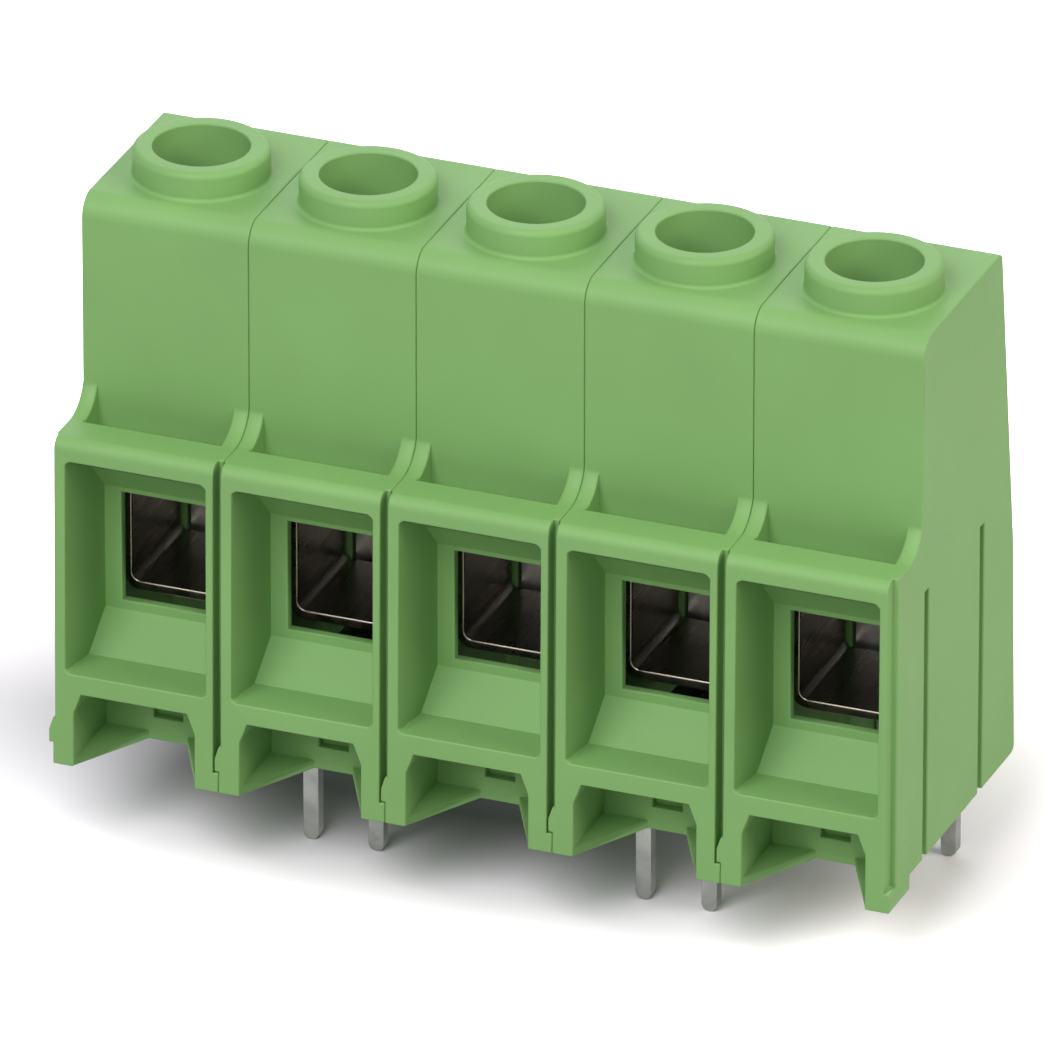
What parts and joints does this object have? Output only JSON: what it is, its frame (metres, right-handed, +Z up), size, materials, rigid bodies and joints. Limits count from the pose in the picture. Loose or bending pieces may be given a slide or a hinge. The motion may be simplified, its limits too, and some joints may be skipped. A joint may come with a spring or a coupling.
{
  "type": "pcb screw terminal",
  "caption": "Row of joined housings with wire funnels, rising sleeve clamps, screws in raised driver collars and staggered solder pin pairs.",
  "frame": {"origin": "middle of the solder pin pattern, on the top face of the board that the block is seated on", "axes": "+X along the row of poles, +Y from the wire side to the back, +Z up out of the board"},
  "size_m": [0.064, 0.0251, 0.0507],
  "materials": {
    "housing": "satin moulded green polyamide",
    "sleeve": "bright nickel plate on folded sheet",
    "screw": "zinc plate, turned",
    "bar": "matt tin plate on punched strip"
  },
  "bodies": {
    "block": {"housing_1": "housing", "housing_2": "housing", "housing_3": "housing", "housing_4": "housing", "housing_5": "housing", "current_bar_1": "bar", "current_bar_2": "bar", "current_bar_3": "bar", "current_bar_4": "bar", "current_bar_5": "bar"},
    "clamp_1": {"sleeve_1": "sleeve"},
    "clamp_2": {"sleeve_2": "sleeve"},
    "clamp_3": {"sleeve_3": "sleeve"},
    "clamp_4": {"sleeve_4": "sleeve"},
    "clamp_5": {"sleeve_5": "sleeve"},
    "spindle_1": {"screw_1": "screw"},
    "spindle_2": {"screw_2": "screw"},
    "spindle_3": {"screw_3": "screw"},
    "spindle_4": {"screw_4": "screw"},
    "spindle_5": {"screw_5": "screw"}
  },
  "joints": [
    {"name": "screw_turn_1", "type": "hinge", "parent": "block", "child": "spindle_1", "pos_m": [-0.0254, -0.00255, 0.03], "axis": [0, 0, -1], "range_deg": [0, 3961]},
    {"name": "sleeve_lift_1", "type": "slide", "parent": "block", "child": "clamp_1", "axis": [0, 0, 1], "range_m": [0, 0.0077]},
    {"name": "screw_turn_2", "type": "hinge", "parent": "block", "child": "spindle_2", "pos_m": [-0.0127, -0.00255, 0.03], "axis": [0, 0, -1], "range_deg": [0, 3961]},
    {"name": "sleeve_lift_2", "type": "slide", "parent": "block", "child": "clamp_2", "axis": [0, 0, 1], "range_m": [0, 0.0077]},
    {"name": "screw_turn_3", "type": "hinge", "parent": "block", "child": "spindle_3", "pos_m": [0, -0.00255, 0.03], "axis": [0, 0, -1], "range_deg": [0, 3961]},
    {"name": "sleeve_lift_3", "type": "slide", "parent": "block", "child": "clamp_3", "axis": [0, 0, 1], "range_m": [0, 0.0077]},
    {"name": "screw_turn_4", "type": "hinge", "parent": "block", "child": "spindle_4", "pos_m": [0.0127, -0.00255, 0.03], "axis": [0, 0, -1], "range_deg": [0, 3961]},
    {"name": "sleeve_lift_4", "type": "slide", "parent": "block", "child": "clamp_4", "axis": [0, 0, 1], "range_m": [0, 0.0077]},
    {"name": "screw_turn_5", "type": "hinge", "parent": "block", "child": "spindle_5", "pos_m": [0.0254, -0.00255, 0.03], "axis": [0, 0, -1], "range_deg": [0, 3961]},
    {"name": "sleeve_lift_5", "type": "slide", "parent": "block", "child": "clamp_5", "axis": [0, 0, 1], "range_m": [0, 0.0077]}
  ],
  "couplings": [
    {"joint": "screw_turn_1", "follows": "sleeve_lift_1", "rad_per_m": 8976},
    {"joint": "screw_turn_2", "follows": "sleeve_lift_2", "rad_per_m": 8976},
    {"joint": "screw_turn_3", "follows": "sleeve_lift_3", "rad_per_m": 8976},
    {"joint": "screw_turn_4", "follows": "sleeve_lift_4", "rad_per_m": 8976},
    {"joint": "screw_turn_5", "follows": "sleeve_lift_5", "rad_per_m": 8976}
  ]
}
